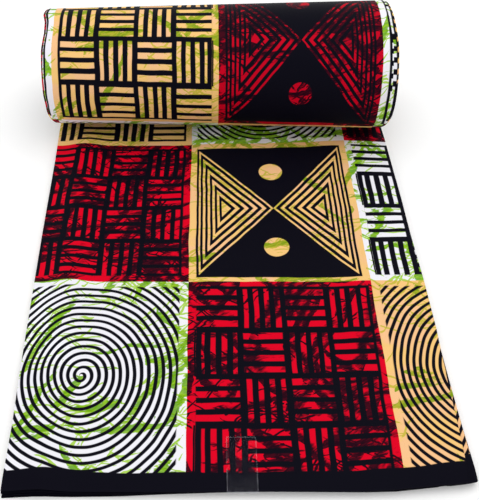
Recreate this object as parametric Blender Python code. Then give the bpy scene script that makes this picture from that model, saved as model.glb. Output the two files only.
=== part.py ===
"""Folded and rolled length of wax print cloth.

One cut of printed cotton is folded in a zigzag along its length, so that every leaf is as wide as
the panel, and then rolled up from one selvedge. The flat stretch comes forward as a panel with the
other selvedge along its front edge. X runs along the cut's length, Y from the front edge to the
roll, Z up. The origin is at the middle of the base of the whole bundle.
"""

import math
from collections import namedtuple

import bmesh
import bpy
import numpy as np

# The cut, in metres
CUT_WIDTH = 1.12  # selvedge to selvedge

# The walls of the solids
WALL = 0.0010  # a leaf that shows
GAP = 0.0003  # between neighbouring pieces
FLAP = 0.015  # how far a leaf turns back under itself at a side fold

# The flat stretch
STACK_FRONT = 0.0090  # loose leaves at the front edge
STACK_ROLL = 0.0062  # leaves pressed together at the roll
FRONT_DROOP = 0.0014  # the top leaf sinks this far towards its selvedge
DROOP_LENGTH = 0.016
RIDGE_X = -0.163  # a puffed fold runs along the left side
RIDGE_HEIGHT = 0.0042
RIDGE_HALF_WIDTH = 0.030
RIDGE_END = 0.161  # the ridge has gone flat RIDGE_FADE behind this
RIDGE_FADE = 0.035
RIGHT_LIFT = 0.0018  # the right side stands a little higher than the middle
RIGHT_LIFT_FROM = 0.090

# The roll, an oval tube that sags a little, measured at x = 0
ROLL_Y = 0.2215
ROLL_HALF_DEPTH = 0.0733
ROLL_HALF_HEIGHT = 0.0710
ROLL_FLARE = 0.0182  # both halves grow by this per metre to the right, and its back stays straight
TUCK_FROM = math.radians(285)  # turning from the floor up the back, over the top and down the front
TUCK_TO = math.radians(345)  # here the cloth has passed in under itself
TUCK_DEPTH = STACK_ROLL + 0.0004
SEAM_TURN = GAP / 2 / ROLL_HALF_DEPTH  # the rolled stretch starts this far round
PATH_STEP = math.radians(0.5)

# Hidden leaves show as rounded layers at the edges
LAYER_COUNT = 4
LAYER_DEPTH = 0.0014  # from a layer's crest to the groove beside it
LAYER_SHOULDER = 0.22  # where the round of a layer ends, as a share of its thickness

# The strip of clear tape over the front selvedge
TAPE_LEFT = -0.0055
TAPE_RIGHT = 0.0206
TAPE_BACK = -0.2416
TAPE_THICK = 0.0003
TAPE_LIP = 0.0035  # it turns down over the edge

# How finely the solids follow the curves
PANEL_STATIONS = 15
ROLL_STATIONS = 36  # from the floor to where the cloth has passed in under itself
FOLD_STEPS = 4

# Left and right edge of the top leaf, and right edge of the leaves under it, from front to back
PanelEdge = namedtuple("PanelEdge", "y left right under_right")
PANEL_EDGES = (
    PanelEdge(y=-0.2963, left=-0.1937, right=0.1972, under_right=0.2053),
    PanelEdge(y=-0.2813, left=-0.1936, right=0.1974, under_right=0.2048),
    PanelEdge(y=-0.2283, left=-0.1933, right=0.1980, under_right=0.2022),
    PanelEdge(y=-0.1863, left=-0.1944, right=0.1978, under_right=0.2006),
    PanelEdge(y=-0.1263, left=-0.1954, right=0.1990, under_right=0.1996),
    PanelEdge(y=-0.0603, left=-0.1962, right=0.1978, under_right=0.1978),
    PanelEdge(y=0.0037, left=-0.1969, right=0.1953, under_right=0.1953),
    PanelEdge(y=0.0657, left=-0.1971, right=0.1941, under_right=0.1941),
    PanelEdge(y=0.1257, left=-0.1973, right=0.1920, under_right=0.1920),
    PanelEdge(y=0.1937, left=-0.1985, right=0.1898, under_right=0.1898),
    PanelEdge(y=0.2297, left=-0.1990, right=0.1898, under_right=0.1898),
)

# Front edge of the top leaf and of the lowest leaf, from left to right
FrontEdge = namedtuple("FrontEdge", "x top under")
FRONT_EDGES = (
    FrontEdge(x=-0.210, top=-0.2919, under=-0.2957),
    FrontEdge(x=-0.163, top=-0.2925, under=-0.2935),
    FrontEdge(x=-0.140, top=-0.2925, under=-0.2943),
    FrontEdge(x=-0.095, top=-0.2929, under=-0.2939),
    FrontEdge(x=-0.011, top=-0.2931, under=-0.2897),
    FrontEdge(x=0.034, top=-0.2929, under=-0.2887),
    FrontEdge(x=0.106, top=-0.2931, under=-0.2899),
    FrontEdge(x=0.136, top=-0.2915, under=-0.2895),
    FrontEdge(x=0.160, top=-0.2891, under=-0.2867),
    FrontEdge(x=0.199, top=-0.2855, under=-0.2819),
    FrontEdge(x=0.207, top=-0.2843, under=-0.2801),
)

# Ends of the rolled stretch, by how far the cloth has turned
RollEnd = namedtuple("RollEnd", "degrees left right")
ROLL_ENDS = (
    RollEnd(degrees=0, left=-0.1990, right=0.1898),
    RollEnd(degrees=60, left=-0.2040, right=0.1890),
    RollEnd(degrees=150, left=-0.2072, right=0.1858),
    RollEnd(degrees=172, left=-0.2076, right=0.1854),
    RollEnd(degrees=186, left=-0.2038, right=0.1864),
    RollEnd(degrees=200, left=-0.2032, right=0.1872),
    RollEnd(degrees=217, left=-0.2056, right=0.1888),
    RollEnd(degrees=261, left=-0.2056, right=0.1894),
    RollEnd(degrees=272, left=-0.2046, right=0.1894),
    RollEnd(degrees=283, left=-0.2044, right=0.1888),
    RollEnd(degrees=300, left=-0.2016, right=0.1862),
    RollEnd(degrees=315, left=-0.1982, right=0.1852),
    RollEnd(degrees=345, left=-0.1970, right=0.1856),
    RollEnd(degrees=430, left=-0.2002, right=0.1862),
    RollEnd(degrees=540, left=-0.2022, right=0.1876),
)

# Places across the top leaf, as shares of its width, that its gentle swells need
ACROSS = (0.05, 0.085, 0.13, 0.2, 0.45, 0.72, 0.86, 0.95)


def column(table, name):
    return [getattr(row, name) for row in table]


def edge(y, name):
    return float(np.interp(y, column(PANEL_EDGES, "y"), column(PANEL_EDGES, name)))


def across_leaf(y, share):
    """The x at this share of the top leaf's width."""
    return edge(y, "left") + (edge(y, "right") - edge(y, "left")) * share


def front(x, name):
    return float(np.interp(x, column(FRONT_EDGES, "x"), column(FRONT_EDGES, name)))


def roll_end(turn, name):
    return float(np.interp(math.degrees(turn), column(ROLL_ENDS, "degrees"), column(ROLL_ENDS, name)))


def ease(share):
    """0 to 1 with level ends."""
    share = min(max(share, 0.0), 1.0)
    return share * share * (3 - 2 * share)


def top_height(x, y):
    """Height of the flat stretch's upper surface."""
    back = ease((y - front(x, "top")) / (ROLL_Y - RIDGE_FADE - front(x, "top")))
    height = STACK_FRONT + (STACK_ROLL - STACK_FRONT) * back
    ridge = RIDGE_HEIGHT * ease(1 - abs(x - RIDGE_X) / RIDGE_HALF_WIDTH)
    lift = RIGHT_LIFT * ease((x - RIGHT_LIFT_FROM) / (RIDGE_HALF_WIDTH * 2))
    fade = 1 - ease((y - RIDGE_END) / RIDGE_FADE)
    droop = FRONT_DROOP * ease(1 - (y - front(x, "top")) / DROOP_LENGTH)
    return height + (ridge + lift) * fade - droop


def roll_point(x, turn, depth):
    """A point in the roll, depth inside the cloth's outer face, once it has turned so far."""
    tuck = TUCK_DEPTH * ease((turn - TUCK_FROM) / (TUCK_TO - TUCK_FROM))
    flare = ROLL_FLARE * x
    across = ROLL_HALF_DEPTH + flare - tuck
    tall = ROLL_HALF_HEIGHT + flare - tuck
    inward = np.array((-tall * math.sin(turn), across * math.cos(turn)))
    inward = inward / np.linalg.norm(inward) * depth
    return (
        x,
        ROLL_Y - flare + across * math.sin(turn) + inward[0],
        ROLL_HALF_HEIGHT + flare - tall * math.cos(turn) + inward[1],
    )


def seam_y(x):
    """Where the flat stretch ends, a gap before the rolled stretch starts."""
    return roll_point(x, SEAM_TURN, 0)[1] - GAP


def last_turn():
    """How far the cloth turns before its inner selvedge, from the width that the panel leaves."""
    left = CUT_WIDTH - (ROLL_Y - front(0, "top"))
    turn = 0.0
    here = np.array(roll_point(0, turn, 0))
    while left > 0:
        turn += PATH_STEP
        there = np.array(roll_point(0, turn, 0))
        left -= np.linalg.norm(there - here)
        here = there
    return turn


def new_object(name, mesh_data, collection, colour, roughness):
    """An object with its own material, from a bmesh whose faces are made to point out."""
    bmesh.ops.recalc_face_normals(mesh_data, faces=mesh_data.faces)
    bmesh.ops.triangulate(mesh_data, faces=mesh_data.faces, ngon_method="EAR_CLIP")
    mesh = bpy.data.meshes.new(name)
    mesh_data.to_mesh(mesh)
    mesh_data.free()
    mesh.shade_smooth()
    mesh.set_sharp_from_angle(angle=math.radians(40))
    material = bpy.data.materials.new(name)
    material.use_nodes = True
    shader = material.node_tree.nodes["Principled BSDF"]
    shader.inputs["Base Color"].default_value = (*colour, 1)
    shader.inputs["Roughness"].default_value = roughness
    shader.inputs["Metallic"].default_value = 0
    mesh.materials.append(material)
    part = bpy.data.objects.new(name, mesh)
    collection.objects.link(part)
    return part


def add_grid(mesh_data, rows):
    """Vertices for rows of points, with quads between them."""
    verts = [[mesh_data.verts.new(point) for point in row] for row in rows]
    for one, other in zip(verts, verts[1:]):
        for a, b, c, d in zip(one, one[1:], other[1:], other):
            mesh_data.faces.new((a, b, c, d))
    return verts


def join_strips(mesh_data, one, other):
    for a, b, c, d in zip(one, one[1:], other[1:], other):
        mesh_data.faces.new((a, b, c, d))


def wall_between(outer_rows, inner_rows):
    """A closed wall from its outer face and its inner face, both as rows of points."""
    mesh_data = bmesh.new()
    outer = add_grid(mesh_data, outer_rows)
    inner = add_grid(mesh_data, inner_rows)
    join_strips(mesh_data, outer[0], inner[0])
    join_strips(mesh_data, outer[-1], inner[-1])
    join_strips(mesh_data, [row[0] for row in outer], [row[0] for row in inner])
    join_strips(mesh_data, [row[-1] for row in outer], [row[-1] for row in inner])
    return mesh_data


def leaf_section(left, right, shares):
    """Outer and inner face of a leaf that is turned under at both sides, as (x, depth) points."""
    centre = WALL + GAP / 2
    faces = []
    for radius in (centre, GAP / 2):
        arc = [math.pi * step / FOLD_STEPS for step in range(FOLD_STEPS + 1)]
        bend = [(radius * math.sin(angle), centre + radius * math.cos(angle)) for angle in arc]
        left_side = [(left + FLAP, centre + radius)]
        left_side += [(left + centre - out, depth) for out, depth in bend]
        middle = [(left + (right - left) * share, centre - radius) for share in shares]
        right_side = [(right - centre + out, depth) for out, depth in reversed(bend)]
        right_side += [(right - FLAP, centre + radius)]
        faces.append(left_side + middle + right_side)
    return faces


def panel_rows(name, stations):
    """For each station, the y at every x of the flat stretch's outline of that name."""

    def place(x, share):
        start = front(x, name)
        return start + (seam_y(x) - start) * share

    return [lambda x, share=share: place(x, share) for share in stations]


def build_top_leaf(collection):
    """The flat stretch's uppermost leaf, which wraps both side folds."""
    stations = [0, 0.012, 0.03] + [0.03 + 0.97 * n / PANEL_STATIONS for n in range(1, PANEL_STATIONS + 1)]
    outer_rows = []
    inner_rows = []
    for y_at in panel_rows("top", stations):
        y_middle = y_at(0)
        faces = leaf_section(edge(y_middle, "left"), edge(y_middle, "right"), ACROSS)
        for rows, face in zip((outer_rows, inner_rows), faces):
            rows.append([(x, y_at(x), top_height(x, y_at(x)) - depth) for x, depth in face])
    return new_object("top_leaf", wall_between(outer_rows, inner_rows), collection, (0.42, 0.04, 0.05), 0.75)


def layer_levels():
    """Heights of the layered edge as shares of the whole, each with how far it steps in."""
    levels = [(0.0, LAYER_DEPTH)]
    for layer in range(LAYER_COUNT):
        levels.append(((layer + LAYER_SHOULDER) / LAYER_COUNT, LAYER_DEPTH * 0.12))
        levels.append(((layer + 1 - LAYER_SHOULDER) / LAYER_COUNT, 0.0))
        levels.append(((layer + 1) / LAYER_COUNT, LAYER_DEPTH))
    return levels


def build_hidden_leaves(collection):
    """The leaves under the top one share a rounded solid, layered at its sides and front."""
    stations = [n / PANEL_STATIONS for n in range(PANEL_STATIONS + 1)]
    step = FLAP + GAP
    width = edge(0, "right") - edge(0, "left")
    lap = step / width
    lap_wall = (step + GAP) / width
    shares = [0, lap, lap_wall, 0.13, 0.2, 0.45, 0.72, 0.86, 1 - lap_wall, 1 - lap, 1]
    last = len(shares) - 1
    mesh_data = bmesh.new()

    def place(across, along, level, inset):
        """A point on the solid: level 0 is its base and 1 its top, which follows the top leaf."""
        spread = 1 - level
        share = shares[across]
        x_front = across_leaf(-0.3, share)
        start = front(x_front, "top") * (1 - spread) + front(x_front, "under") * spread
        y = start + (seam_y(across_leaf(ROLL_Y, share)) - start) * stations[along]
        left = edge(y, "left") + inset
        right = edge(y, "right") * (1 - spread) + edge(y, "under_right") * spread - inset
        x = left + (right - left) * share
        y += inset * (1 - stations[along])
        under_lap = 2 if across in (0, 1, last - 1, last) else 1
        high = top_height(min(max(x, edge(y, "left")), edge(y, "right")), y)
        return (x, y, level * (high - under_lap * (WALL + GAP)))

    def rim():
        """The grid's outer points in order: front, right side, back, left side."""
        end = len(stations) - 1
        points = [(across, 0) for across in range(last)]
        points += [(last, along) for along in range(end)]
        points += [(across, end) for across in range(last, 0, -1)]
        points += [(0, along) for along in range(end, 0, -1)]
        return points

    levels = layer_levels()
    rings = []
    for level, inset in levels:
        rings.append([mesh_data.verts.new(place(a, b, level, inset)) for a, b in rim()])
    for one, other in zip(rings, rings[1:]):
        join_strips(mesh_data, one + one[:1], other + other[:1])
    for ring, (level, inset) in ((rings[0], levels[0]), (rings[-1], levels[-1])):
        verts = dict(zip(rim(), ring))
        for across in range(1, last):
            for along in range(1, len(stations) - 1):
                verts[across, along] = mesh_data.verts.new(place(across, along, level, inset))
        for across in range(last):
            for along in range(len(stations) - 1):
                corners = ((across, along), (across + 1, along), (across + 1, along + 1), (across, along + 1))
                mesh_data.faces.new([verts[corner] for corner in corners])
    return new_object("hidden_leaves", mesh_data, collection, (0.16, 0.03, 0.04), 0.85)


def roll_turns(end):
    """Where the roll's sections stand, at the same places for each leaf."""
    step = (TUCK_TO - SEAM_TURN) / ROLL_STATIONS
    whole = math.floor((end - SEAM_TURN) / step + 1e-6)
    turns = [SEAM_TURN + step * n for n in range(whole + 1)]
    if end - turns[-1] > step / 4:
        turns.append(end)
    return turns


def build_roll_leaf(collection):
    """The rolled stretch's outermost leaf, up the back, over the top and down the front."""
    outer_rows = []
    inner_rows = []
    for turn in roll_turns(TUCK_TO):
        faces = leaf_section(roll_end(turn, "left"), roll_end(turn, "right"), ())
        for rows, face in zip((outer_rows, inner_rows), faces):
            rows.append([roll_point(x, turn, depth) for x, depth in face])
    return new_object("roll_leaf", wall_between(outer_rows, inner_rows), collection, (0.50, 0.22, 0.10), 0.75)


def rolled_section(covered):
    """One side of the hidden leaves' section in the roll, as (inset, depth) points.

    Where the outer leaf covers them, they lie under it and under its turned sides. Past that the
    outer leaf is hidden too, so they take in its place.
    """
    if covered:
        base = 2 * (WALL + GAP)
        side = [(FLAP + GAP, WALL + GAP), (FLAP + GAP, base)]
    else:
        base = 0.0
        side = [(FLAP + GAP, base), (FLAP / 2, base)]
    return side + [(inset, base + level * (STACK_ROLL - base)) for level, inset in layer_levels()]


def build_rolled_hidden_leaves(collection):
    """The leaves inside the roll share one rounded solid, layered at both ends of the roll."""
    mesh_data = bmesh.new()
    rings = []
    for turn in roll_turns(last_turn()):
        side = rolled_section(turn < TUCK_TO + SEAM_TURN)
        ring = [(roll_end(turn, "left") + inset, depth) for inset, depth in side]
        ring += [(roll_end(turn, "right") - inset, depth) for inset, depth in reversed(side)]
        rings.append([mesh_data.verts.new(roll_point(x, turn, depth)) for x, depth in ring])
    for one, other in zip(rings, rings[1:]):
        join_strips(mesh_data, one + one[:1], other + other[:1])
    mesh_data.faces.new(rings[0])
    mesh_data.faces.new(rings[-1])
    return new_object("rolled_hidden_leaves", mesh_data, collection, (0.16, 0.03, 0.04), 0.85)


def build_clear_tape(collection):
    """A strip laid on the top leaf's points, moved out, and turned down over its edge."""
    columns = [TAPE_LEFT, (TAPE_LEFT + TAPE_RIGHT) / 2, TAPE_RIGHT]
    faces = []
    for out in (GAP + TAPE_THICK, GAP):
        rows = []
        for share in (0, 0.3, 0.6, 0.8, 0.92, 1):
            row = []
            for x in columns:
                y = TAPE_BACK + (front(x, "top") - TAPE_BACK) * share
                row.append((x, y - (out if share == 1 else 0), top_height(x, y) + out))
            rows.append(row)
        rows.append([(x, front(x, "top") - out, top_height(x, front(x, "top")) - TAPE_LIP) for x in columns])
        faces.append(rows)
    return new_object("clear_tape", wall_between(*faces), collection, (0.62, 0.62, 0.62), 0.3)


def build():
    for old in list(bpy.data.objects):
        bpy.data.objects.remove(old, do_unlink=True)
    collection = bpy.data.collections.new("wax_print_cloth")
    bpy.context.scene.collection.children.link(collection)
    build_top_leaf(collection)
    build_hidden_leaves(collection)
    build_roll_leaf(collection)
    build_rolled_hidden_leaves(collection)
    build_clear_tape(collection)


build()
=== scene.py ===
import math
from collections import namedtuple

import bpy
import numpy as np
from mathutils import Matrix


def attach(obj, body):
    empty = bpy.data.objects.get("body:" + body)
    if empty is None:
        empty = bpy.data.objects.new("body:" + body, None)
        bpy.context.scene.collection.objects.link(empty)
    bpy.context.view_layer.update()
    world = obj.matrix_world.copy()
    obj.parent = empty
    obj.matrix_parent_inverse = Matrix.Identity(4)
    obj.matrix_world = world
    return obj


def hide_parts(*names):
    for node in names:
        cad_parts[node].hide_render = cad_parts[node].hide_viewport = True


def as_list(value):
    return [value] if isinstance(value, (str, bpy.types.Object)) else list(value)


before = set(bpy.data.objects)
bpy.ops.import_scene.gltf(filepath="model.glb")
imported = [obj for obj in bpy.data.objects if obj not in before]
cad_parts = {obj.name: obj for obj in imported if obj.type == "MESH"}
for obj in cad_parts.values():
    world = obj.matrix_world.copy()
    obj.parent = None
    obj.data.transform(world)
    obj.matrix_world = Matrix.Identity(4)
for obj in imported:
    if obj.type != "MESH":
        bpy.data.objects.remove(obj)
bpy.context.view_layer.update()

# The cloth and its print, in metres
CUT_WIDTH = 1.12  # selvedge to selvedge
CLOTH = 0.00030  # thickness
THREAD = 0.00055  # from one thread of the weave to the next
TILE = 0.184  # one square of the print along the cut
ROW = 0.2153  # one row of the print, from selvedge towards selvedge
TILE_LINE_X = -0.0402  # a line between two squares runs back along the panel here
BAND_LINE_Y = -0.2758  # the first row starts here, behind the black band
IN_BAND = -0.05  # a place in that band, in rows
FOLD_PERIOD = 4.316  # squares from one folded edge to the next on the same side
FOLD_LAG = 0.001  # how much less printed cloth lies before each next folded edge

# The print on the roll's outer leaf
ROLL_TILE_X = -0.0082  # a line between two squares runs round the roll here
LEFT_SQUEEZE = 0.08  # to its left the squares widen, by this share on average per metre
RIGHT_SQUEEZE = 0.14  # to its right they narrow, by this share on average per metre
ROLL_START = 0.4874  # how much printed cloth lies before the roll, in its middle
ROLL_SKEW = -0.029  # how much this grows per metre to the right
LEFT_DRAW = 0.0025  # how far the print is drawn in at the left end
LEFT_DRAW_FROM = -0.185  # this starts here
LEFT_DRAW_REACH = 0.022  # and grows over this length
LEFT_FOLD_X = -0.2028  # the mean place of the leaf's fold there, which the print follows
RIGHT_DRAW = 0.0034  # how far the print is drawn back round the roll at the right end
RIGHT_DRAW_FROM = 0.168
RIGHT_DRAW_REACH = 0.012

# The flat stretch
STACK_FRONT = 0.0090  # height of the stack at the front edge
STACK_ROLL = 0.0062  # and at the roll
FRONT_DROOP = 0.0014
DROOP_LENGTH = 0.016
RIDGE_X = -0.163
RIDGE_HEIGHT = 0.0042
RIDGE_HALF_WIDTH = 0.030
RIDGE_END = 0.161  # the ridge and the lift fade out from here back
RIDGE_FADE = 0.035
RIGHT_LIFT = 0.0018
RIGHT_LIFT_FROM = 0.090
RIGHT_LIFT_REACH = 0.060

# The roll
ROLL_Y = 0.2215
ROLL_HALF_DEPTH = 0.0733
ROLL_HALF_HEIGHT = 0.0710
ROLL_FLARE = 0.0182  # both halves grow by this per metre to the right, and its back stays straight
TUCK_FROM = math.radians(285)  # the cloth turns in under itself from here
TUCK_TO = math.radians(345)  # to here
TUCK_GAP = 0.0004  # between one turn and the next
TUCK_DEPTH = STACK_ROLL + TUCK_GAP
TURN_STEP = math.radians(2.5)

# Leaves, as they are stacked at the left, where every edge is a fold, and at the right, where the
# two outer leaves have their cut ends turned under
LEFT_LAYERS = 14
RIGHT_LAYERS = 16
TOP_LEVEL = 0.95  # above this level of the stack lies only the top leaf
STAGGER = 0.0006  # how far the hidden folds drift in from the outline
SHOWN_STAGGER = 0.0002  # the same for those that show
SET_BACK = 0.0007  # how far back the hidden leaves' front edges lie on average
BULGE = 0.62  # half the height of a folded edge, as a share of a leaf
FOLD_HALF = 0.0004  # cloth from the middle of a folded edge to either leaf
FOLD_STEPS = 6
FOLD_LEGS = (1, 0.6, 0.34, 0.18, 0.08)  # places of the points on its leaves, as shares of their reach
FOLD_REACH = 0.025  # how far in from an edge the hidden leaves are made
FRONT_REACH = 0.022  # and how far in from the front edge
HEM = 0.015
SPACING = 0.0036  # between the points across a leaf that shows
COARSE_SPACING = 3 * SPACING
SELVEDGE_SPACING = 0.012
MAP_MARGIN = 0.02  # round each patch of cloth in its flat map, as a share

# The strip of clear tape
TAPE_LEFT = -0.0055
TAPE_RIGHT = 0.0206
TAPE_BACK = -0.2416
TAPE_FILM = 0.00006
TAPE_LIFT = 0.00025
TAPE_LIP = 0.0035
TAPE_ROWS = 24
TAPE_COLUMNS = 8

# Left and right edge of the top leaf, and right edge of the leaves under it
PanelEdge = namedtuple("PanelEdge", "y left right under_right")
PANEL_EDGES = (
    PanelEdge(y=-0.2963, left=-0.1937, right=0.1972, under_right=0.2053),
    PanelEdge(y=-0.2813, left=-0.1936, right=0.1974, under_right=0.2048),
    PanelEdge(y=-0.2283, left=-0.1933, right=0.1980, under_right=0.2022),
    PanelEdge(y=-0.1863, left=-0.1944, right=0.1978, under_right=0.2006),
    PanelEdge(y=-0.1263, left=-0.1954, right=0.1990, under_right=0.1996),
    PanelEdge(y=-0.0603, left=-0.1962, right=0.1978, under_right=0.1978),
    PanelEdge(y=0.0037, left=-0.1969, right=0.1953, under_right=0.1953),
    PanelEdge(y=0.0657, left=-0.1971, right=0.1941, under_right=0.1941),
    PanelEdge(y=0.1257, left=-0.1973, right=0.1920, under_right=0.1920),
    PanelEdge(y=0.1937, left=-0.1985, right=0.1898, under_right=0.1898),
    PanelEdge(y=0.2297, left=-0.1990, right=0.1898, under_right=0.1898),
)

# Front edge of the top leaf and of the lowest leaf
FrontEdge = namedtuple("FrontEdge", "x top under")
FRONT_EDGES = (
    FrontEdge(x=-0.210, top=-0.2919, under=-0.2957),
    FrontEdge(x=-0.163, top=-0.2925, under=-0.2935),
    FrontEdge(x=-0.140, top=-0.2925, under=-0.2943),
    FrontEdge(x=-0.095, top=-0.2929, under=-0.2939),
    FrontEdge(x=-0.011, top=-0.2931, under=-0.2897),
    FrontEdge(x=0.034, top=-0.2929, under=-0.2887),
    FrontEdge(x=0.106, top=-0.2931, under=-0.2899),
    FrontEdge(x=0.136, top=-0.2915, under=-0.2895),
    FrontEdge(x=0.160, top=-0.2891, under=-0.2867),
    FrontEdge(x=0.199, top=-0.2855, under=-0.2819),
    FrontEdge(x=0.207, top=-0.2843, under=-0.2801),
)

# Ends of the rolled stretch
RollEnd = namedtuple("RollEnd", "degrees left right")
ROLL_ENDS = (
    RollEnd(degrees=0, left=-0.1990, right=0.1898),
    RollEnd(degrees=60, left=-0.2040, right=0.1890),
    RollEnd(degrees=150, left=-0.2072, right=0.1858),
    RollEnd(degrees=172, left=-0.2076, right=0.1854),
    RollEnd(degrees=186, left=-0.2038, right=0.1864),
    RollEnd(degrees=200, left=-0.2032, right=0.1872),
    RollEnd(degrees=217, left=-0.2056, right=0.1888),
    RollEnd(degrees=261, left=-0.2056, right=0.1894),
    RollEnd(degrees=272, left=-0.2046, right=0.1894),
    RollEnd(degrees=283, left=-0.2044, right=0.1888),
    RollEnd(degrees=300, left=-0.2016, right=0.1862),
    RollEnd(degrees=315, left=-0.1982, right=0.1852),
    RollEnd(degrees=345, left=-0.1970, right=0.1856),
    RollEnd(degrees=430, left=-0.2002, right=0.1862),
    RollEnd(degrees=540, left=-0.2022, right=0.1876),
)

# How far inside those ends the outer leaf is folded over
RollInset = namedtuple("RollInset", "degrees left right")
ROLL_INSETS = (
    RollInset(degrees=110, left=0.0, right=0.0),
    RollInset(degrees=150, left=0.0028, right=0.0046),
    RollInset(degrees=186, left=0.0028, right=0.0062),
    RollInset(degrees=261, left=0.0028, right=0.0064),
    RollInset(degrees=283, left=0.0024, right=0.0058),
    RollInset(degrees=300, left=0.0014, right=0.0048),
    RollInset(degrees=315, left=0.0004, right=0.0036),
    RollInset(degrees=345, left=0.0, right=0.0),
)

# Folds that show past the outer leaf there, by side and strand, and how far inside the ends they lie
SHOWN_FOLDS = {(0, 4): 0.0, (1, 4): 0.0, (1, 5): 0.0014}

# How far behind its mean place the first printed row starts, across the panel
BandDrift = namedtuple("BandDrift", "x back")
BAND_DRIFT = (
    BandDrift(x=-0.194, back=0.0009),
    BandDrift(x=-0.164, back=0.0022),
    BandDrift(x=-0.138, back=0.0015),
    BandDrift(x=-0.097, back=-0.0009),
    BandDrift(x=-0.041, back=-0.0009),
    BandDrift(x=0.094, back=0.0008),
    BandDrift(x=0.144, back=0.0029),
    BandDrift(x=0.190, back=0.0090),
    BandDrift(x=0.208, back=0.0100),
)

# How far the print is drawn back, and how far to the left in squares, where the panel meets the roll
SeamDrift = namedtuple("SeamDrift", "x back aside")
SEAM_DRIFT = (
    SeamDrift(x=-0.200, back=0.0, aside=-0.019),
    SeamDrift(x=-0.060, back=0.0, aside=-0.015),
    SeamDrift(x=-0.045, back=0.0010, aside=-0.013),
    SeamDrift(x=-0.030, back=0.0020, aside=-0.002),
    SeamDrift(x=0.100, back=0.0072, aside=0.0),
    SeamDrift(x=0.130, back=0.0085, aside=0.003),
    SeamDrift(x=0.145, back=0.0076, aside=0.012),
    SeamDrift(x=0.190, back=0.0050, aside=0.014),
)

# The row from which each of these grows, and over how many rows
BACK_FROM = 1.15
BACK_REACH = 0.85
ASIDE_FROM = 1.5
ASIDE_REACH = 0.5

# How far the print runs ahead of the cloth's mean place round the roll
RollDrift = namedtuple("RollDrift", "degrees ahead")
ROLL_DRIFT = (
    RollDrift(degrees=0, ahead=0.0),
    RollDrift(degrees=150, ahead=0.0110),
    RollDrift(degrees=162, ahead=0.0075),
    RollDrift(degrees=175, ahead=0.0035),
    RollDrift(degrees=190, ahead=0.0006),
    RollDrift(degrees=225, ahead=0.0006),
    RollDrift(degrees=250, ahead=-0.0008),
    RollDrift(degrees=285, ahead=-0.0020),
    RollDrift(degrees=345, ahead=-0.0030),
)


def column(table, name):
    return [getattr(row, name) for row in table]


def look_up(table, key, name, at):
    """A column of a table, read between its rows."""
    return float(np.interp(at, column(table, key), column(table, name)))


def edge(y, name):
    return look_up(PANEL_EDGES, "y", name, y)


def front(x, name):
    return look_up(FRONT_EDGES, "x", name, x)


def ease(share):
    """0 to 1 with level ends."""
    share = min(max(share, 0.0), 1.0)
    return share * share * (3 - 2 * share)


# Where the cloth lies

PANEL_LENGTH = ROLL_Y - front(0, "top")

# kind is panel or roll, at is a share of the panel's length or a turn of the roll, and length is
# the cloth's length from the front edge
Station = namedtuple("Station", "kind at length")


def top_height(x, y):
    """Height of the flat stretch's upper surface."""
    back = ease((y - front(x, "top")) / (ROLL_Y - RIDGE_FADE - front(x, "top")))
    height = STACK_FRONT + (STACK_ROLL - STACK_FRONT) * back
    ridge = RIDGE_HEIGHT * ease(1 - abs(x - RIDGE_X) / RIDGE_HALF_WIDTH)
    lift = RIGHT_LIFT * ease((x - RIGHT_LIFT_FROM) / RIGHT_LIFT_REACH)
    fade = 1 - ease((y - RIDGE_END) / RIDGE_FADE)
    droop = FRONT_DROOP * ease(1 - (y - front(x, "top")) / DROOP_LENGTH)
    return height + (ridge + lift) * fade - droop


def seam_y(x):
    """Where the flat stretch ends and the roll starts."""
    return ROLL_Y - ROLL_FLARE * x


def roll_point(x, turn, depth):
    """A point in the roll, depth inside the cloth's outer face, once it has turned so far."""
    tuck = TUCK_DEPTH * ease((turn - TUCK_FROM) / (TUCK_TO - TUCK_FROM))
    flare = ROLL_FLARE * x
    across = ROLL_HALF_DEPTH + flare - tuck
    tall = ROLL_HALF_HEIGHT + flare - tuck
    inward_y = -tall * math.sin(turn)
    inward_z = across * math.cos(turn)
    size = math.hypot(inward_y, inward_z)
    return (
        x,
        seam_y(x) + across * math.sin(turn) + inward_y / size * depth,
        ROLL_HALF_HEIGHT + flare - tall * math.cos(turn) + inward_z / size * depth,
    )


def roll_stations():
    """Stations round the roll, each with the length of cloth from the front edge to it."""
    stations = [Station("roll", 0.0, PANEL_LENGTH)]
    here = roll_point(0, 0.0, 0)
    while stations[-1].length < CUT_WIDTH:
        turn = stations[-1].at + TURN_STEP
        there = roll_point(0, turn, 0)
        stations.append(Station("roll", turn, stations[-1].length + math.dist(here, there)))
        here = there
    return stations


def panel_stations(count):
    """Stations from the front edge to the roll, close together at the drooping edge."""
    near = (0, 0.004, 0.008, 0.014, 0.020, 0.028)
    shares = [*near, *(near[-1] + (1 - near[-1]) * n / count for n in range(1, count + 1))]
    return [Station("panel", share, share * PANEL_LENGTH) for share in shares]


def side_x(station, side, hidden):
    """The outline's x at a station: side 0 is the left edge and 1 the right."""
    if station.kind == "roll":
        name = ("left", "right")[side]
        degrees = math.degrees(station.at)
        inset = 0 if hidden else look_up(ROLL_INSETS, "degrees", name, degrees)
        return look_up(ROLL_ENDS, "degrees", name, degrees) + (1 - 2 * side) * inset
    name = ("left", "under_right" if hidden else "right")[side]
    return edge(front(0, "top") + PANEL_LENGTH * station.at, name)


def stagger(side, strand, station):
    """How far a hidden fold lies inside the outline, which drifts along it."""
    slow = math.sin(strand * 2.4 + station.length * 9)
    quick = math.cos(strand * 1.3 + station.length * 31)
    drift = 1.2 + slow + 0.8 * quick
    if station.kind == "roll" and (side, strand) in SHOWN_FOLDS:
        return SHOWN_FOLDS[side, strand] + SHOWN_STAGGER * drift
    return STAGGER * drift


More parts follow.
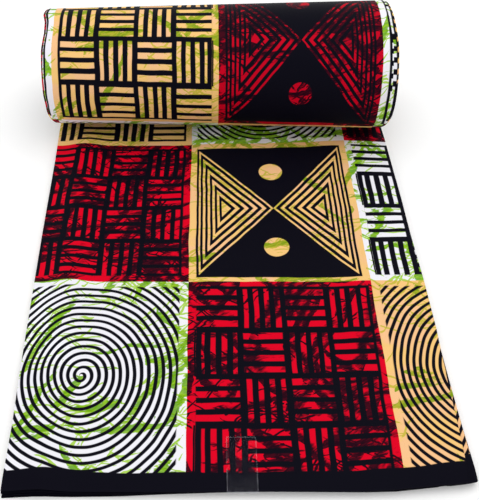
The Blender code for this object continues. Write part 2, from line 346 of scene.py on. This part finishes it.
def set_back(x, level):
    """How far a hidden leaf's front edge lies behind the outline."""
    if level > TOP_LEVEL:
        return 0.0
    return SET_BACK * (1 + math.sin(level * 33 + x * 11))


def stack_point(x, station, level):
    """A point of the stack: level 1 is its upper or inner face and 0 its lower or outer face."""
    if station.kind == "roll":
        return roll_point(x, station.at, level * STACK_ROLL)
    start = front(x, "top") * level + front(x, "under") * (1 - level) + set_back(x, level)
    y = start + (seam_y(x) - start) * station.at
    inside = min(max(x, edge(y, "left")), edge(y, "right"))
    return (x, y, level * top_height(inside, y))


def stack_height(x, station):
    if station.kind == "roll":
        return STACK_ROLL
    return top_height(x, front(x, "top") + (seam_y(x) - front(x, "top")) * station.at)


# Sections across the cloth

# share is 0 at the left outline and 1 at the right, inset is measured from there, bulge is a share
# of the stack's height, level is 1 at its top and 0 at its bottom, turned is the cloth's length past
# the leaf's edge, and strand counts the hidden folds from the top
Column = namedtuple("Column", "share inset bulge level turned strand")


def level_of(layer, layers):
    """The level of a leaf in a stack of so many, counted from the top."""
    return (layers - 0.5 - layer) / layers


def folded_edge(side, upper, upper_reach, lower_reach, strand=None):
    """Columns round a folded edge, from the upper leaf's inner end to the lower leaf's.

    upper is the upper leaf's place in the stack, where 0 is the top leaf.
    """
    layers = (LEFT_LAYERS, RIGHT_LAYERS)[side]
    inward = 1 - 2 * side
    columns = []
    for leg in FOLD_LEGS:
        reach = upper_reach * leg
        columns.append(Column(side, inward * reach, 0, level_of(upper, layers), -reach, strand))
    for step in range(FOLD_STEPS + 1):
        angle = math.pi * (0.5 - step / FOLD_STEPS)
        level = level_of(upper + 0.5 - BULGE * math.sin(angle), layers)
        bulge = inward * (1 - math.cos(angle)) * BULGE / layers
        columns.append(Column(side, 0, bulge, level, -FOLD_HALF * math.sin(angle), strand))
    for leg in reversed(FOLD_LEGS):
        reach = lower_reach * leg
        columns.append(Column(side, inward * reach, 0, level_of(upper + 1, layers), reach, strand))
    return columns


def across_leaf(left_layer, right_layer, reach, spacing):
    """Columns across a leaf, from reach inside its left edge to reach inside its right edge."""
    count = round((LEAF_WIDTH - 2 * reach) / spacing)
    columns = []
    for n in range(count + 1):
        share = n / count
        left_level = level_of(left_layer, LEFT_LAYERS) * (1 - share)
        right_level = level_of(right_layer, RIGHT_LAYERS) * share
        inset = reach * (1 - 2 * share)
        columns.append(Column(share, inset, 0, left_level + right_level, 0.0, None))
    return columns


def outer_leaf(is_top, spacing):
    """Columns of an outer leaf, with some of the next leaf at its left and its hem at its right."""
    near = SPACING
    if is_top:
        left = folded_edge(0, 0, near, FOLD_REACH)[::-1]
        middle = across_leaf(0, 0, near + spacing, spacing)
        right = folded_edge(1, 0, near, HEM)
    else:
        left = folded_edge(0, LEFT_LAYERS - 2, FOLD_REACH, near)
        middle = across_leaf(LEFT_LAYERS - 1, RIGHT_LAYERS - 1, near + spacing, spacing)
        right = folded_edge(1, RIGHT_LAYERS - 2, HEM, near)[::-1]
    return left + middle + right


def place(spot, station):
    """Where a column's point lies at a station."""
    hidden = spot.strand is not None
    left = side_x(station, 0, hidden)
    right = side_x(station, 1, hidden)
    x = left + (right - left) * spot.share + spot.inset
    x += spot.bulge * stack_height(min(max(x, left), right), station)
    if hidden:
        x += (1 - 2 * spot.share) * stagger(spot.share, spot.strand, station)
    return stack_point(x, station, spot.level)


Stretch = namedtuple("Stretch", "stations length")
PANEL = Stretch(panel_stations(60), PANEL_LENGTH)
FINE_PANEL = Stretch(panel_stations(140), PANEL_LENGTH)
ROLL = Stretch(roll_stations(), CUT_WIDTH - PANEL_LENGTH)
LEAF_WIDTH = side_x(ROLL.stations[0], 1, False) - side_x(ROLL.stations[0], 0, False)


# Where the print lies, in squares along the cut and rows across it


def unfolded_x(spot, station, point, past):
    """A point's x if its leaf were laid flat, when it lies so far past the leaf's folded edge."""
    if past <= 0:
        return point[0]
    if spot.share == 0:
        return side_x(station, 0, False) - past
    return side_x(station, 1, False) + past


def print_on_top(spot, station, point):
    """The print on the uppermost leaf, which goes on as the roll's innermost."""
    x, y, _ = point
    along = 1 + (unfolded_x(spot, station, point, spot.turned) - TILE_LINE_X) / TILE
    if station.kind == "roll":
        y = station.length - PANEL_LENGTH + seam_y(x)
    rows = (y - BAND_LINE_Y) / ROW
    drift = look_up(BAND_DRIFT, "x", "back", x) * (1 - ease(rows))
    drift += look_up(SEAM_DRIFT, "x", "back", x) * ease((rows - BACK_FROM) / BACK_REACH)
    along += look_up(SEAM_DRIFT, "x", "aside", x) * ease((rows - ASIDE_FROM) / ASIDE_REACH)
    return along, rows - drift / ROW


def print_on_outer(spot, station, point):
    """The print on the lowest leaf, which goes on as the roll's outermost and shows its other face."""
    x = point[0]
    to_right = unfolded_x(spot, station, point, -spot.turned) - ROLL_TILE_X
    squeeze = RIGHT_SQUEEZE if to_right > 0 else LEFT_SQUEEZE
    along = 2 - to_right * (1 + squeeze * to_right) / TILE
    drawn = LEFT_DRAW + side_x(station, 0, False) - LEFT_FOLD_X
    along += drawn / TILE * ease((LEFT_DRAW_FROM - x) / LEFT_DRAW_REACH)
    start = ROLL_START + ROLL_SKEW * x
    start += RIGHT_DRAW * ease((x - RIGHT_DRAW_FROM) / RIGHT_DRAW_REACH)
    if station.kind == "roll":
        start += look_up(ROLL_DRIFT, "degrees", "ahead", math.degrees(station.at))
    return along, (station.length - PANEL_LENGTH + start) / ROW


# Squares along the cut to the first folded edge at the left and at the right, and how much printed
# cloth lies before the roll there
FoldPrint = namedtuple("FoldPrint", "squares start")
PANEL_FOLDS = FoldPrint(squares=(0.147, 2.05), start=0.4939)
ROLL_FOLDS = FoldPrint(squares=(0.274, 4.53), start=0.4967 + RIGHT_DRAW)


def print_on_fold(lie, side, strand):
    """The print round a hidden folded edge."""

    def print_at(spot, station, point):
        along = lie.squares[side] - FOLD_PERIOD * strand - spot.turned / TILE
        start = lie.start + ROLL_SKEW * point[0] - FOLD_LAG * strand
        return along, (station.length - PANEL_LENGTH + start) / ROW

    return print_at


def print_on_selvedge(_spot, _station, point):
    """The black band along the front edge."""
    return point[0] / TILE, IN_BAND


# Meshes


class Sheet:
    """Cloth as a grid of points, with the print's place and the cloth's own measure at each."""

    def __init__(self):
        self.points = []
        self.prints = []
        self.measures = []
        self.faces = []
        self.patch_of_face = []
        self.patches = 0

    def add(self, columns, stations, print_at):
        """A patch of cloth with these columns at these stations, and the print where print_at says."""
        first = len(self.points)
        wide = len(columns)
        rows = [[place(spot, station) for spot in columns] for station in stations]
        middle = rows[len(rows) // 2]
        across = [0.0]
        for one, other in zip(middle, middle[1:]):
            across.append(across[-1] + math.dist(one, other))
        for row, station in zip(rows, stations):
            self.points += row
            self.prints += [print_at(spot, station, point) for spot, point in zip(columns, row)]
            self.measures += [(measure, station.length) for measure in across]
        for i in range(len(rows) - 1):
            for j in range(wide - 1):
                corner = first + i * wide + j
                self.faces.append((corner, corner + 1, corner + wide + 1, corner + wide))
                self.patch_of_face.append(self.patches)
        self.patches += 1

    def make(self, name):
        """The object. Its map lays the patches out flat, side by side."""
        mesh = bpy.data.meshes.new(name)
        mesh.from_pydata(self.points, [], self.faces)
        attribute = mesh.attributes.new("print", "FLOAT_VECTOR", "POINT")
        numbers = [number for u, v in self.prints for number in (u, v, 0.0)]
        attribute.data.foreach_set("vector", numbers)
        self.map_cloth(mesh)
        return give_thickness(name, mesh, CLOTH)

    def map_cloth(self, mesh):
        measures = np.array(self.measures)
        patch_of = np.array(self.patch_of_face)
        faces = np.array(self.faces)
        start = measures[:, 1].min()
        long = measures[:, 1].max() - start
        wide = measures[:, 0].max()
        inside = 1 - 2 * MAP_MARGIN
        mapped = np.zeros((len(faces), 4, 2), np.float32)
        for corner in range(4):
            across = measures[faces[:, corner], 0] / wide
            along = (measures[faces[:, corner], 1] - start) / long
            mapped[:, corner, 0] = (patch_of + MAP_MARGIN + inside * across) / self.patches
            mapped[:, corner, 1] = MAP_MARGIN + inside * along
        mesh.uv_layers.new(name="OFBake").data.foreach_set("uv", mapped.reshape(-1))


def give_thickness(name, mesh, thickness):
    """An object of this surface with so much thickness, its rims sharp."""
    sheet = bpy.data.objects.new(name, mesh)
    bpy.context.scene.collection.objects.link(sheet)
    solidify = sheet.modifiers.new("cloth", "SOLIDIFY")
    solidify.thickness = thickness
    solidify.offset = 0
    graph = bpy.context.evaluated_depsgraph_get()
    solid = bpy.data.meshes.new_from_object(
        sheet.evaluated_get(graph), preserve_all_data_layers=True, depsgraph=graph
    )
    sheet.modifiers.clear()
    sheet.data = solid
    solid.name = name
    solid.shade_smooth()
    solid.set_sharp_from_angle(angle=math.radians(50))
    return sheet


# Shader maths


class Value:
    """A number that changes over a surface. Its operators add Math nodes."""

    def __init__(self, finish, socket):
        self.finish = finish
        self.socket = socket

    def math(self, operation, *others, clamp=False):
        inputs = dict(enumerate((self, *others)))
        node = self.finish.node("Math", inputs, operation=operation, use_clamp=clamp)
        return Value(self.finish, node.outputs[0])

    def __add__(self, other):
        return self.math("ADD", other)

    __radd__ = __add__

    def __sub__(self, other):
        return self.math("SUBTRACT", other)

    def __rsub__(self, other):
        return (self * -1).math("ADD", other)

    def __mul__(self, other):
        return self.math("MULTIPLY", other)

    __rmul__ = __mul__

    def __truediv__(self, other):
        if isinstance(other, Value):
            return self.math("DIVIDE", other)
        return self.math("MULTIPLY", 1 / other)

    def __mod__(self, other):
        return self.math("FLOORED_MODULO", other)

    def __abs__(self):
        return self.math("ABSOLUTE")

    def __floor__(self):
        return self.math("FLOOR")

    def least(self, other):
        return self.math("MINIMUM", other)

    def most(self, other):
        return self.math("MAXIMUM", other)

    def above(self, limit, soft):
        """1 where the value is over the limit, 0 under it, with an edge so soft."""
        return self.math("SUBTRACT", limit).math("MULTIPLY_ADD", 1 / soft, 0.5, clamp=True)

    def below(self, limit, soft):
        return self.math("SUBTRACT", limit).math("MULTIPLY_ADD", -1 / soft, 0.5, clamp=True)

    def hypot(self, other):
        """The square root of the sum of both squares."""
        return (self * self + other * other).math("SQRT")


class Finish:
    """A material, and the one way its nodes are added."""

    def __init__(self, name):
        self.material = bpy.data.materials.new(name)
        self.material.use_nodes = True
        self.tree = self.material.node_tree
        self.tree.nodes.clear()

    def node(self, kind, inputs=(), **settings):
        """A node of this kind, with its settings and its sockets' values or links."""
        node = self.tree.nodes.new("ShaderNode" + kind)
        for name, value in settings.items():
            setattr(node, name, value)
        for key, value in dict(inputs).items():
            if isinstance(value, Value):
                self.tree.links.new(value.socket, node.inputs[key])
            else:
                node.inputs[key].default_value = value
        return node

    def value(self, kind, inputs=(), output=0, **settings):
        return Value(self, self.node(kind, inputs, **settings).outputs[output])

    def parts(self, vector):
        """The three numbers of a place or a colour."""
        apart = self.node("SeparateXYZ", {0: vector})
        return [Value(self, socket) for socket in apart.outputs]

    def vector_math(self, operation, first, second):
        return self.value("VectorMath", {0: first, 1: second}, operation=operation)

    def blend(self, share, first, second):
        """A colour that goes from the first to the second."""
        first = first if isinstance(first, Value) else (*first, 1)
        second = second if isinstance(second, Value) else (*second, 1)
        inputs = {0: share, 6: first, 7: second}
        return self.value("Mix", inputs, 2, data_type="RGBA", clamp_factor=True)

    def surface(self, **sockets):
        """The Principled shader, joined to the material's output."""
        inputs = {name.replace("_", " "): value for name, value in sockets.items()}
        shader = self.value("BsdfPrincipled", inputs)
        self.node("OutputMaterial", {"Surface": shader})
        return self.material


def seen(red, green, blue):
    """A colour as a screen shows it, from 0 to 255, as the shader needs it."""
    shares = [channel / 255 for channel in (red, green, blue)]
    return tuple(s / 12.92 if s <= 0.04045 else ((s + 0.055) / 1.055) ** 2.4 for s in shares)


# The print

INK = seen(10, 9, 20)
WHITE = seen(236, 235, 242)
RED = seen(218, 0, 34)
DARK_RED = seen(35, 3, 19)
# MAROON also serves as the painted shade of the red squares on the roll
MAROON = seen(88, 5, 25)
PEACH = seen(242, 195, 124)
PINK_PEACH = seen(241, 190, 138)
YELLOW_PEACH = seen(236, 196, 108)
GREEN = seen(102, 160, 0)
LIGHT_GREEN = seen(160, 204, 30)
OLIVE_GREEN = seen(122, 152, 14)
LIGHT_OLIVE = seen(192, 178, 56)

SOFT_EDGE = 0.003  # in squares
BAND_LINES = (0.003, 4.997)  # where the two black bands start, in rows
WANDER = 0.017  # how far the printed lines wander, in squares


def basket_ink(finish, u, v, square, row):
    """Ink of a square of four by four blocks of bars, upright and level by turns."""
    blocks = 4
    margin = 0.040
    end = 0.970
    near_band = row.below(0.5, 1)
    start = 0.036 - near_band * 0.066
    g = (u - margin) / (1 - 2 * margin)
    h = (v - start) / (end - start)

    # The first row's blocks are drawn a little to the right and towards the band
    front_draw = (1 - h) * g * (1 - g) * 0.055
    back_draw = h * (g * g * 0.020 + 0.006)
    g = g - near_band * (front_draw + back_draw)
    h = h + near_band * h * h * (1 - h) * 0.075

    # The block, the place in it, and that place across and along its bars
    across = g * blocks
    along = h * blocks
    i = math.floor(across)
    j = math.floor(along)
    a = across - i
    b = along - j
    upright = 1 - (i + j) % 2
    across_bars = b + (a - b) * upright
    along_bars = a + (b - a) * upright
    block = i + (j - i) * upright

    # Light gaps between the dark bars, each of its own width
    edge_line = 0.070
    pitch = 0.28
    gap_middle = 0.285
    soft = 0.02
    q = (across_bars - edge_line) / (1 - 2 * edge_line)
    p = q / pitch
    n = math.floor(p)
    bar = {0: i + square * blocks, 1: j + row * blocks, 2: n + 7 * upright}
    where = finish.value("CombineXYZ", bar)
    chance = finish.value("TexWhiteNoise", {"Vector": where}, noise_dimensions="3D")
    gap_half = 0.288 - upright * 0.064 + (chance - 0.5) * 0.08
    light = (gap_half - abs(p - n - gap_middle)).above(0, 0.05)
    thick_first_bar = i.below(0.5, 0.1) * upright * 0.070
    light = light * (q - thick_first_bar).above(0, soft) * q.below(1, soft)
    closed = block.above(0.5, 0.1) * edge_line
    light = light * (along_bars - closed).above(-soft, soft) * along_bars.below(1 - edge_line, soft)

    # Level blocks reach a little past the square's left edge
    flank = i.below(-0.5, 0.1) * (1 - upright) * across.above(-0.035, soft)
    inside = (0.5 - abs(g - 0.5) + flank * 0.02).least(0.5 - abs(h - 0.5)).above(0, 0.005)
    return inside * (1 - light * (1 - flank))


def hourglass_ink(u, v):
    """Ink of a framed square: dark triangles above and below, nested ones at the sides."""
    frame_half = (0.459, 0.4665)
    frame_line = 0.032
    soft = 0.006
    x = abs((u - 0.4995) / frame_half[0])
    y = abs((v - 0.4935) / frame_half[1])

    # Lines of the nested triangles, slanting and upright
    slant_pitch = 0.113
    upright_pitch = 0.0617
    line_half = 0.265
    slant = (x - y) / slant_pitch
    side = (1 - x) / upright_pitch - 0.57
    depth = slant.least(side)
    step = (depth - 0.29) % 1
    line = (line_half - abs(step - line_half)).above(0, 0.06)
    line = line * depth.above(0.25, 0.04) * depth.below(4.85, 0.04)
    frame_ink = x.most(y).above(1 - frame_line, soft)

    # Dark triangles, each with a light dot
    dot_middle = 0.575
    dot_half = (0.158, 0.132)
    out = (x / dot_half[0]).hypot((y - dot_middle) / dot_half[1])
    dark = slant.below(0, 0.05) * out.above(1, 0.04)
    inside = x.most(y).below(1, soft)
    return line.most(frame_ink).most(dark) * inside


def spiral_ink(u, v, row):
    """Ink of one line that winds out from the middle of the square."""
    pitch = (0.0342, 0.0366)
    x = (u - 0.471) / pitch[0]
    y = (v - 0.4556) / pitch[1]
    out = x.hypot(y)

    # Its turns are drawn to the right and back as it winds out
    x = x - out * 0.042
    y = y - out * 0.022
    reach = x.hypot(y)
    turn = y.math("ARCTAN2", x) / (2 * math.pi)
    sideways = x / reach
    line_half = 0.214 + sideways * sideways * 0.055
    line = (line_half - abs((reach + turn) % 1 - 0.5)).above(0, 0.08) * reach.above(0.25, 0.05)
    near_band = row.below(0.5, 1)
    inside = (0.457 - abs(u - 0.497)).least(0.967 - v).least(v - 0.037 + near_band * 0.05)
    return line * inside.above(0, 0.006)


# Marks of the wax: degrees is their lie, length and width are in squares, shift sets their places,
# and share is how many of the possible ones are drawn
Marks = namedtuple("Marks", "degrees length width shift share")
BRUSH_MARKS = (
    Marks(degrees=64, length=0.62, width=0.056, shift=0.3, share=0.28),
    Marks(degrees=-48, length=0.56, width=0.052, shift=3.1, share=0.27),
    Marks(degrees=9, length=0.50, width=0.048, shift=5.7, share=0.24),
)
CRACKS = (
    Marks(degrees=47, length=0.20, width=0.017, shift=1.3, share=0.24),
    Marks(degrees=-33, length=0.19, width=0.016, shift=4.4, share=0.23),
    Marks(degrees=3, length=0.22, width=0.015, shift=7.9, share=0.23),
)
BRUSH_REACH = 0.43
CRACK_REACH = 0.36
BEYOND_MARKS = 1.5  # farther than any place lies from the nearest possible mark
BEND = 0.11  # how far the marks are bent, in squares


def crackle(finish, flat, red, orange, past_panel):
    """How deep a point lies in a brushed stroke and in a fine crack, and the streaks within them."""
    waver = finish.value("TexNoise", {"Vector": flat, "Scale": 5.0, "Detail": 3.0}, 1)
    waver = finish.vector_math("SUBTRACT", waver, (0.5, 0.5, 0.5))
    waver = finish.vector_math("MULTIPLY", waver, (BEND, BEND, 0))
    bent = finish.vector_math("ADD", flat, waver)

    def drawn_out(degrees, length, width, shift):
        """Places in which a mark so long and so wide is round."""
        inputs = {
            "Vector": bent,
            "Location": (shift, 2.3 * shift, shift),
            "Rotation": (0, 0, math.radians(degrees)),
            "Scale": (length, width, 1),
        }
        return finish.value("Mapping", inputs, vector_type="TEXTURE")

    def marks(kinds, reach, more):
        """How deep a point lies in the nearest mark."""
        deepest = None
        for kind in kinds:
            at = drawn_out(kind.degrees, kind.length, kind.width, kind.shift)
            cells = finish.node("TexVoronoi", {"Vector": at, "Scale": 1.0}, voronoi_dimensions="2D")
            drawn = (kind.share - Value(finish, cells.outputs["Color"]) + more).above(0, 0.01)
            depth = (BEYOND_MARKS - Value(finish, cells.outputs["Distance"])) * drawn
            deepest = depth if deepest is None else deepest.most(depth)
        return deepest - (BEYOND_MARKS - reach)

    patches = finish.value("TexNoise", {"Vector": flat, "Scale": 1.9, "Detail": 1.0}, 1)
    brushed, cracked = (part - 0.5 for part in finish.parts(patches)[:2])
    at = drawn_out(24, 0.05, 0.011, 0.7)
    hatch = finish.value("TexNoise", {"Vector": at, "Scale": 1.0, "Detail": 2.0}) - 0.5

    # More strokes on the red squares, most of all on the roll, and fewer on the orange ones
    more = red * (0.08 + past_panel * 0.09) - orange * 0.10
    brush = marks(BRUSH_MARKS, BRUSH_REACH, brushed * 0.9 + 0.03 + more)
    beside = brush.above(-0.3, 0.6)
    crack = marks(CRACKS, CRACK_REACH, cracked * 0.9 + beside * 0.2 - red * 0.05) + hatch * 0.4
    streaks = hatch.above(0.04, 0.12)
    return brush + hatch * 0.9, crack, streaks


def printed_cotton(name):
    """The wax print: coloured squares, crackle, and the dark motifs and bands over them."""
    finish = Finish(name)
    lie = finish.value("Attribute", output=1, attribute_name="print", attribute_type="GEOMETRY")
    wander = finish.value("TexNoise", {"Vector": lie, "Scale": 4.5, "Detail": 2.0}, 1)
    aside, ahead, _ = finish.parts(wander)
    along, rows, _ = finish.parts(lie)
    along = along + (aside - 0.5) * WANDER
    rows = rows + (ahead - 0.5) * WANDER

    # White, red and orange squares by turns, each with its motif
    square = math.floor(along)
    row = math.floor(rows)
    u = along - square
    v = rows - row
    hue = (square + row) % 3
    red = 1 - abs(hue - 1)
    orange = hue.math("SUBTRACT", 1, clamp=True)
    odd_row = row % 2
    spiral_here = (1 - odd_row) * (1 - (square + row * 0.5) % 2)
    hourglass_here = odd_row * (square % 2)
    ink = basket_ink(finish, u, v, square, row) * (1 - spiral_here - hourglass_here)
    ink = ink + hourglass_ink(u, v) * hourglass_here + spiral_ink(u, v, row) * spiral_here
    front_line, back_line = BAND_LINES
    band = rows.below(front_line, SOFT_EDGE).most(rows.above(back_line, SOFT_EDGE))

    # Crackle, green on the pale squares and dark on the red ones, and painted shade that darkens the
    # red on the roll
    flat = finish.vector_math("MULTIPLY", lie, (1, ROW / TILE, 1))
    # 1 on the roll: it sets the extra strokes there and the painted shade of its red
    past_panel = rows.above(2.5, 0.1)
    stroke, crack, streaks = crackle(finish, flat, red, orange, past_panel)
    strokes = stroke.above(0, 0.08)
    cracks = crack.above(0, 0.08)
    tone = finish.value("TexNoise", {"Vector": flat, "Scale": 4.0, "Detail": 2.0})
    peach = finish.blend(tone.above(0.5, 0.12), YELLOW_PEACH, PINK_PEACH)
    peach = finish.blend(tone.below(0.47, 0.1), peach, PEACH)
    pale = finish.blend(orange, WHITE, peach)
    deep_green = finish.blend(orange, GREEN, OLIVE_GREEN)
    light_green = finish.blend(orange, LIGHT_GREEN, LIGHT_OLIVE)
    brushed_green = finish.blend(streaks * 0.6, deep_green, light_green)
    cracked_pale = finish.blend(cracks * 0.9, pale, light_green)
    greened = finish.blend(strokes * 0.95, cracked_pale, brushed_green)
    # Painted shade: the red is blended towards maroon on the roll, where the cloth lies in less light
    red_with_painted_roll_shade = finish.blend(past_panel * 0.28, RED, MAROON)
    cracked_red = finish.blend(crack.above(0, 0.16), red_with_painted_roll_shade, DARK_RED)
    brushed_red = finish.blend(streaks * 0.4, DARK_RED, MAROON)
    reddened = finish.blend(stroke.above(-0.02, 0.32), cracked_red, brushed_red)
    ground = finish.blend(red, greened, reddened)
    colour = finish.blend(ink.most(band), ground, INK)

    weave = weave_height(finish, lie)
    bump = finish.value("Bump", {"Strength": 0.25, "Distance": 0.0002, "Height": weave})
    return finish.surface(
        Base_Color=colour, Roughness=0.55, Specular_IOR_Level=0.03, Normal=bump
    )


def weave_height(finish, lie):
    """Height of a plain weave's threads."""
    waves = (math.pi * TILE / THREAD, math.pi * ROW / THREAD, 0)
    along, across, _ = finish.parts(finish.vector_math("MULTIPLY", lie, waves))
    return along.math("SINE") * across.math("SINE") * 0.5 + 0.5


def clear_film():
    """A clear film that shows only through painted light: a highlight along its rim, glints shaped
    like wrinkles near the cloth's edge, and a faint painted sheen all over.
    """
    finish = Finish("clear film")
    where = finish.value("TexCoord", output=0)
    x, y, _ = finish.parts(where)
    across, along = (abs(part - 0.5) * 2 for part in (x, y))
    patchy = finish.value("TexNoise", {"Vector": where, "Scale": 5.0, "Detail": 2.0})
    ripples = finish.value("TexNoise", {"Vector": where, "Scale": 14.0, "Detail": 1.0})
    # Painted highlight: a patchy pale grey line along the rim, and painted glints in a ripple pattern
    # near the edge, stand in for light caught by the film
    painted_rim_highlight = across.above(0.95, 0.04).most(along.above(0.975, 0.02)) * patchy.above(0.5, 0.3)
    painted_wrinkle_glints = (0.03 - abs(ripples - 0.5)).above(0, 0.04) * y.below(0.2, 0.15)
    return finish.surface(
        Base_Color=(0.55, 0.55, 0.62, 1),
        Roughness=0.3,
        Alpha=0.004 + painted_rim_highlight * 0.12 + painted_wrinkle_glints * 0.03,
        Specular_IOR_Level=0.03,
    )


# Pieces


def dress(piece, material, node):
    """A piece in this material, which takes the place of this solid."""
    piece.data.materials.append(material)
    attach(piece, "root")
    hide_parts(node)
    return piece


# Leaves that show: each outer leaf along the panel and round the roll
ShownLeaf = namedtuple("ShownLeaf", "name is_top spacing stretch node rests_on")
SHOWN_LEAVES = (
    ShownLeaf("panel_leaf", True, SPACING, FINE_PANEL, "top_leaf", ["hidden_leaves"]),
    ShownLeaf("roll_outer_leaf", False, SPACING, ROLL, "roll_leaf", ["rolled_hidden_leaves"]),
    ShownLeaf("roll_inner_leaf", True, COARSE_SPACING, ROLL, "rolled_hidden_leaves", ["roll_leaf"]),
    ShownLeaf("underside_leaf", False, COARSE_SPACING, PANEL, "hidden_leaves", []),
)


def lay_shown_leaves(printed):
    for leaf in SHOWN_LEAVES:
        sheet = Sheet()
        print_at = print_on_top if leaf.is_top else print_on_outer
        sheet.add(outer_leaf(leaf.is_top, leaf.spacing), leaf.stretch.stations, print_at)
        piece = dress(sheet.make(leaf.name), printed, leaf.node)
        flat = (LEAF_WIDTH + FOLD_REACH + HEM, leaf.stretch.length)
        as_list(leaf.rests_on)


# Folded edges of the hidden leaves
HiddenFolds = namedtuple("HiddenFolds", "name stretch lie node rests_on")
HIDDEN_FOLDS = (
    HiddenFolds("panel", PANEL, PANEL_FOLDS, "hidden_leaves", ["underside_leaf"]),
    HiddenFolds("roll", ROLL, ROLL_FOLDS, "rolled_hidden_leaves", ["roll_outer_leaf"]),
)


def lay_hidden_folds(printed):
    for folds in HIDDEN_FOLDS:
        for side, name, layers in ((0, "left", LEFT_LAYERS), (1, "right", RIGHT_LAYERS)):
            sheet = Sheet()
            for strand, upper in enumerate(range(2, layers - 2, 2)):
                columns = folded_edge(side, upper, FOLD_REACH, FOLD_REACH, strand)
                sheet.add(columns, folds.stretch.stations, print_on_fold(folds.lie, side, strand))
            piece = sheet.make(f"{folds.name}_{name}_folds")
            dress(piece, printed, folds.node)
            flat = (sheet.patches * 2 * FOLD_REACH, folds.stretch.length)
            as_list(folds.rests_on)


def lay_front_selvedges(printed):
    """The front edges of the leaves under the top one."""
    sheet = Sheet()
    stations = [station for station in PANEL.stations if station.length <= FRONT_REACH]
    for leaf in range(2, LEFT_LAYERS):
        columns = across_leaf(leaf - 1, leaf, FOLD_REACH, SELVEDGE_SPACING)
        sheet.add(columns, stations, print_on_selvedge)
    piece = dress(sheet.make("front_selvedges"), printed, "hidden_leaves")
    flat = (sheet.patches * (LEAF_WIDTH - 2 * FOLD_REACH), stations[-1].length)


def lay_cloth():
    printed = printed_cotton("wax print")
    lay_shown_leaves(printed)
    lay_hidden_folds(printed)
    lay_front_selvedges(printed)


def stick_tape():
    """A film on the top leaf, turned down over its edge."""
    width = TAPE_RIGHT - TAPE_LEFT
    across = [TAPE_LEFT + width * n / TAPE_COLUMNS for n in range(TAPE_COLUMNS + 1)]
    rows = []
    for n in range(TAPE_ROWS + 1):
        row = []
        for x in across:
            y = TAPE_BACK + (front(x, "top") - TAPE_LIFT - TAPE_BACK) * (n / TAPE_ROWS)
            row.append((x, y, top_height(x, max(y, front(x, "top"))) + TAPE_LIFT))
        rows.append(row)
    edge_row = rows[-1]
    for drop in (0.3, 1.0):
        rows.append([(x, y, z - TAPE_LIP * drop) for x, y, z in edge_row])
    wide = len(across)
    faces = []
    for i in range(len(rows) - 1):
        for j in range(wide - 1):
            corner = i * wide + j
            faces.append((corner, corner + wide, corner + wide + 1, corner + 1))
    mesh = bpy.data.meshes.new("clear_tape_film")
    mesh.from_pydata([point for row in rows for point in row], [], faces)
    piece = give_thickness("clear_tape_film", mesh, TAPE_FILM)
    dress(piece, clear_film(), "clear_tape")


# Studio

FLOOR_HALF = 6.0
FLOOR_GAP = 0.0002  # between the floor and the cloth


def set_up_studio():
    mesh = bpy.data.meshes.new("floor")
    sides = ((-1, -1), (1, -1), (1, 1), (-1, 1))
    mesh.from_pydata([(x * FLOOR_HALF, y * FLOOR_HALF, 0) for x, y in sides], [], [(0, 1, 2, 3)])
    floor = bpy.data.objects.new("floor", mesh)
    bpy.context.scene.collection.objects.link(floor)
    floor.location.z = -FLOOR_GAP
    paint = Finish("pale floor")
    white = (0.93, 0.93, 0.93, 1)
    floor.data.materials.append(
        paint.surface(Base_Color=white, Roughness=0.9, Emission_Color=white, Emission_Strength=0.10)
    )

    world = bpy.data.worlds.new("studio")
    bpy.context.scene.world = world
    world.use_nodes = True
    world.node_tree.nodes["Background"].inputs["Color"].default_value = (1, 1, 1, 1)
    world.node_tree.nodes["Background"].inputs["Strength"].default_value = 0.93
    add_light("overhead", at=(0.2, 0.2, 1.9), power=9, size=1.6)
    bpy.context.scene.view_settings.view_transform = "Standard"


def add_light(name, at, power, size):
    """A square light at this place, turned to the middle of the floor."""
    light = bpy.data.lights.new(name, "AREA")
    light.energy = power
    light.size = size
    lamp = bpy.data.objects.new(name, light)
    bpy.context.scene.collection.objects.link(lamp)
    lamp.location = at
    x, y, z = at
    lamp.rotation_euler = (math.atan2(math.hypot(x, y), z), 0, math.atan2(x, -y))


# The camera, as fitted to the photo
PHOTO_HEIGHT = 500
FOCAL_PIXELS = 872.7
CENTRE_OFFSET_PIXELS = 36.33
CAMERA_AT = (-0.0253, -0.6454, 0.6707)
CAMERA_PITCH = math.radians(46.52)


def add_camera():
    camera = bpy.data.cameras.new("camera")
    camera.sensor_width = 36
    camera.lens = FOCAL_PIXELS / PHOTO_HEIGHT * camera.sensor_width
    camera.shift_x = CENTRE_OFFSET_PIXELS / PHOTO_HEIGHT
    camera.clip_start = 0.01
    holder = bpy.data.objects.new("camera", camera)
    bpy.context.scene.collection.objects.link(holder)
    holder.location = CAMERA_AT
    holder.rotation_euler = (math.pi / 2 - CAMERA_PITCH, 0, 0)
    bpy.context.scene.camera = holder


add_camera()
lay_cloth()
stick_tape()
set_up_studio()
